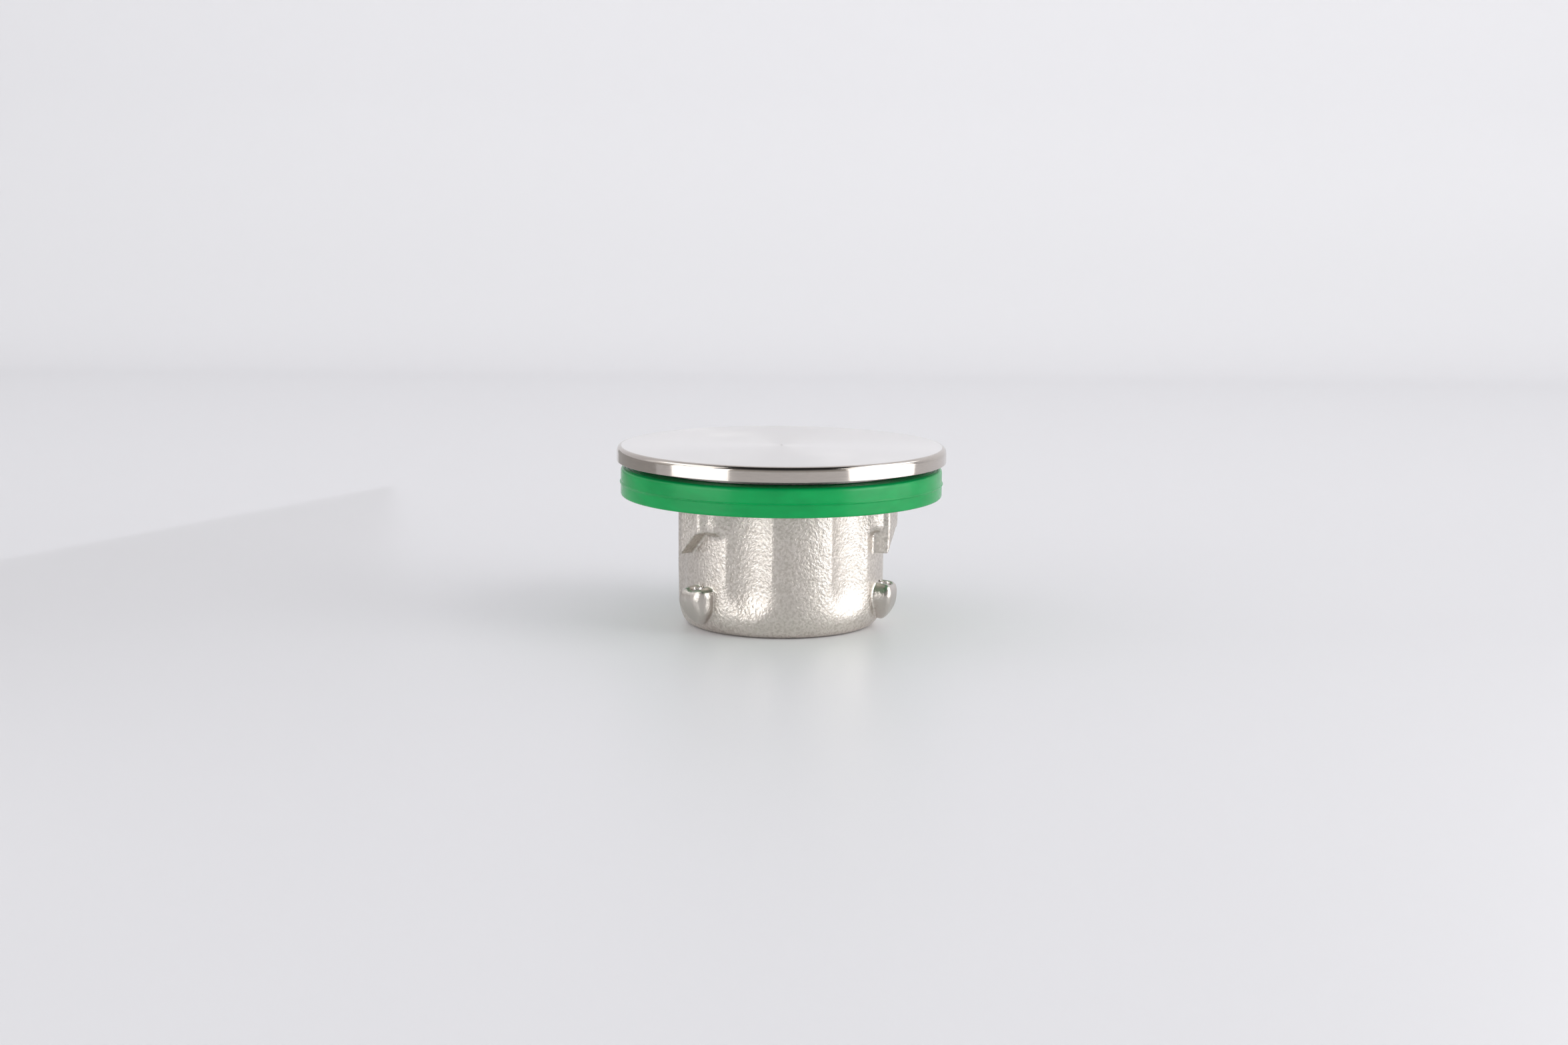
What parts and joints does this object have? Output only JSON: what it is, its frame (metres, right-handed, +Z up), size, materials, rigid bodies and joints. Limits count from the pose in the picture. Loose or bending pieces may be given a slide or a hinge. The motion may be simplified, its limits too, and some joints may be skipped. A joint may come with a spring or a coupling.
{
  "type": "bayonet valve insert",
  "caption": "Bayonet-lock steam trap insert: fluted cast barrel with ramped lugs, green seal ring around its flange, and a sprung steel lift disc closing the top.",
  "frame": {"origin": "centre of the barrel's foot, on the axis", "axes": "+Z up the axis towards the disc; +X through the middle of one pair of bayonet lugs; lugs at 0, 120 and 240 degrees"},
  "size_m": [0.06, 0.06, 0.0326],
  "materials": {
    "cast_stainless": "fine-grained investment casting, satin",
    "turned_stainless": "fine-turned, bright rim",
    "machined_stainless": "machined, satin",
    "ground_stainless": "centreless ground",
    "pressed_stainless": "rolled sheet, satin",
    "spring_wire": "drawn wire, smooth",
    "green_seal": "smooth moulded, semi-gloss",
    "bush_polymer": "machined white polymer",
    "buffer_polymer": "moulded, matt",
    "fibre_gasket": "pressed fibre, matt"
  },
  "bodies": {
    "cage": {"cage_casting": "cast_stainless", "seal_ring": "green_seal", "guide_spider": "machined_stainless", "upper_guide_bush": "bush_polymer", "lower_guide_bush": "bush_polymer", "spring_seat": "pressed_stainless", "spring": "spring_wire", "strainer_screen": "pressed_stainless", "strainer_snap_ring": "spring_wire", "spider_snap_ring": "spring_wire"},
    "carrier": {"spring_retainer": "pressed_stainless", "stop_sleeve": "machined_stainless", "buffer_washer": "buffer_polymer"},
    "valve": {"disc": "turned_stainless", "stem": "ground_stainless", "stem_gasket": "fibre_gasket", "thrust_washer": "bush_polymer", "castle_nut": "machined_stainless", "split_pin": "spring_wire"}
  },
  "joints": [
    {"name": "disc_lift", "type": "slide", "parent": "cage", "child": "carrier", "axis": [0, 0, 1], "range_m": [0, 0.005], "stiffness_N_per_m": 400, "springref_m": -0.005, "deforming": ["spring"]},
    {"name": "disc_spin", "type": "hinge", "parent": "carrier", "child": "valve", "pos_m": [0, 0, 0.03], "axis": [0, 0, 1], "continuous": true}
  ]
}
